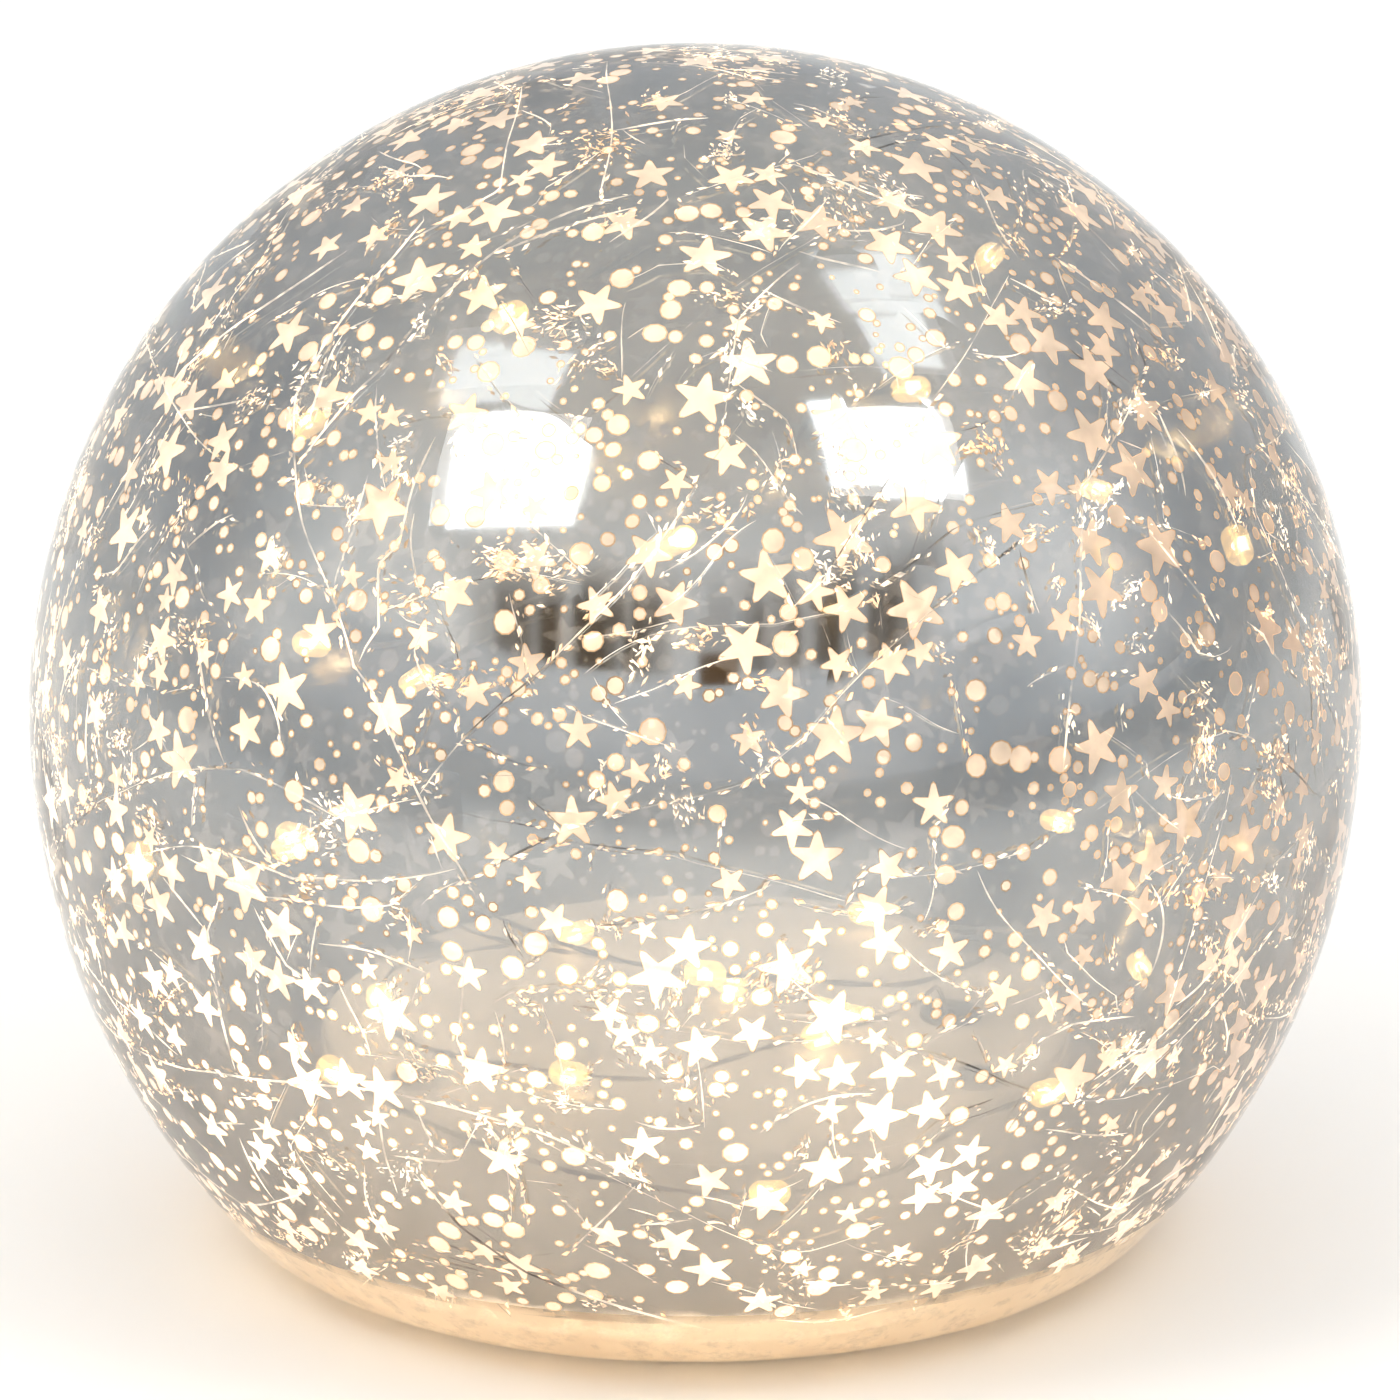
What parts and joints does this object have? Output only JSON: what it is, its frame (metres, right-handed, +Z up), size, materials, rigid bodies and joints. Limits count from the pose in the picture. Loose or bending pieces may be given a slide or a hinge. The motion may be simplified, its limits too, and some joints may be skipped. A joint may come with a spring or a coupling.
{
  "type": "star-pattern LED globe lamp",
  "caption": "Silvered crackle-glass ball with cleared stars and dots, lit by an LED string inside, on a battery base with a hinged door and a slide switch.",
  "frame": {"origin": "on the table plane, under the middle of the ball", "axes": "+Z up through the top of the ball, -Y to the front, +X to the switch side of the base"},
  "size_m": [0.15, 0.15, 0.1365],
  "materials": {
    "clear_glass": "clear blown glass with crackle lines in its wall",
    "silvering": "thin half-silvered film, stars and dots cleared",
    "silicone": "translucent silicone sealant",
    "white_plastic": "moulded white ABS, fine matt texture",
    "black_rubber": "soft matt",
    "grey_rubber": "soft moulded",
    "foam": "open-cell foam strip",
    "cell_jacket": "shrunk printed film, plain bands",
    "nickel": "nickel plate",
    "spring_steel": "nickel-plated spring wire",
    "zinc_screw": "bright zinc",
    "board_green": "solder-masked board",
    "black_plastic": "moulded black plastic",
    "knob_black": "moulded nylon with grip grooves",
    "resistor_beige": "lacquered body with colour bands",
    "can_metal": "drawn can",
    "capacitor_sleeve": "printed sleeve, plain stripe",
    "red_insulation": "PVC insulation",
    "black_insulation": "PVC insulation",
    "string_wire": "two lacquered silver-coloured wires, side by side",
    "led_phosphor": "LED chip under yellow phosphor, lit warm white",
    "clear_resin": "clear resin droplet"
  },
  "bodies": {
    "lamp_body": {"glass_globe": "clear_glass", "mirror_coating": "silvering", "sealant_bead": "silicone", "base_housing": "white_plastic", "top_cover": "white_plastic", "cover_screws": "zinc_screw", "wire_grommet": "black_rubber", "rubber_feet": "grey_rubber", "battery_1": "cell_jacket", "battery_2": "cell_jacket", "battery_3": "cell_jacket", "battery_positive_caps": "nickel", "battery_negative_ends": "nickel", "contact_springs": "spring_steel", "positive_plate": "nickel", "negative_plate": "nickel", "link_plate_front": "nickel", "link_plate_rear": "nickel", "circuit_board": "board_green", "timer_chip": "black_plastic", "resistors": "resistor_beige", "crystal_can": "can_metal", "capacitor": "capacitor_sleeve", "switch_body": "black_plastic", "switch_pins": "nickel", "board_screws": "zinc_screw", "battery_lead_red": "red_insulation", "battery_lead_black": "black_insulation", "led_string_wire": "string_wire", "led_chips": "led_phosphor", "led_droplets": "clear_resin", "string_end_cap": "clear_resin"},
    "battery_door": {"battery_door": "white_plastic", "door_foam_pad": "foam"},
    "switch_knob": {"switch_knob": "knob_black"}
  },
  "joints": [
    {"name": "battery_door_hinge", "type": "hinge", "parent": "lamp_body", "child": "battery_door", "pos_m": [0, -0.0315, 0.0025], "axis": [-1, 0, 0], "range_deg": [0, 100]},
    {"name": "switch_slide", "type": "slide", "parent": "lamp_body", "child": "switch_knob", "axis": [0, -1, 0], "range_m": [0, 0.004]}
  ]
}
